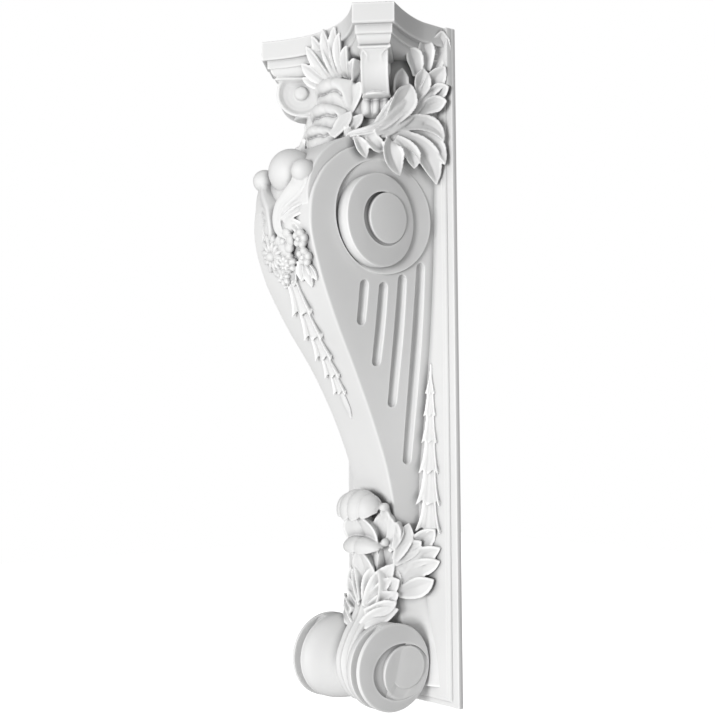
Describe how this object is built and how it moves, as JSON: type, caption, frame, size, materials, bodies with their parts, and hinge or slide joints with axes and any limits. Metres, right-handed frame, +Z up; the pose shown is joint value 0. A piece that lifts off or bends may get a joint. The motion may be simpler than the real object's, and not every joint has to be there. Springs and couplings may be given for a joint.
{
  "type": "corbel",
  "caption": "Tall carved wall corbel in white plaster: a tapering console with scrolls at top and foot, fluted sides, husks, flowers and an acanthus capital under a hollow-sided abacus",
  "frame": {"origin": "middle of the flat back face, on the wall", "axes": "+Z up, -Y out from the wall towards the viewer, +X to the right as seen from the front"},
  "size_m": [0.275, 0.2313, 0.9],
  "materials": {
    "plaster": "matte"
  },
  "bodies": {
    "root": {"corbel": "plaster"}
  },
  "joints": []
}
